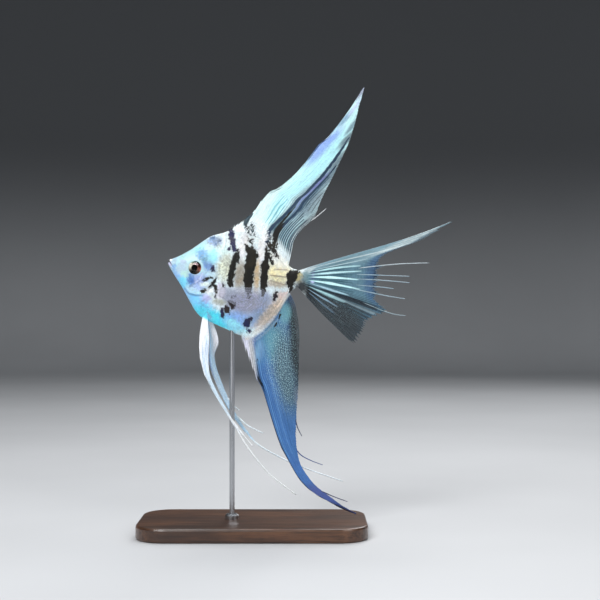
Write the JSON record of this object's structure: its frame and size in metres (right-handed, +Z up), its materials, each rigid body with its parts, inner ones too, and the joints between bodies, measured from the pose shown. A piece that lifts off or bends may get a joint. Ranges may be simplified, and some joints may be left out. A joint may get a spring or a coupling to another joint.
{
  "type": "freshwater angelfish",
  "caption": "Long-finned freshwater angelfish swimming slightly nose-up, a still life-size model held by a plain rod on a flat base.",
  "frame": {"origin": "centre of the underside of the stand's base, on the floor", "axes": "+Z up, along the rod; the fish faces -X and swims 7 degrees nose-up; its left flank faces -Y"},
  "size_m": [0.1821, 0.07, 0.2557],
  "materials": {
    "skin": "wet pearly scales, pale blue and cream with brown-black bars",
    "eye": "black pupil in a pink-brown and silver iris",
    "fin": "satin pale blue membrane with fine rays",
    "clear_fin": "almost clear membrane with fine rays",
    "stand_wood": "dark satin varnish",
    "stand_steel": "fine brushed"
  },
  "bodies": {
    "root": {"head": "skin", "upper_jaw": "skin", "lower_jaw": "skin", "gill_cover_left": "skin", "gill_cover_right": "skin", "trunk": "skin", "tail_stalk": "skin", "eye_left": "eye", "eye_right": "eye", "dorsal_fin": "fin", "anal_fin": "fin", "caudal_fin": "fin", "pectoral_fin_left": "clear_fin", "pectoral_fin_right": "clear_fin", "pelvic_fin_left": "fin", "pelvic_fin_right": "fin", "stand_base": "stand_wood", "stand_rod": "stand_steel", "stand_collar": "stand_steel"}
  },
  "joints": []
}
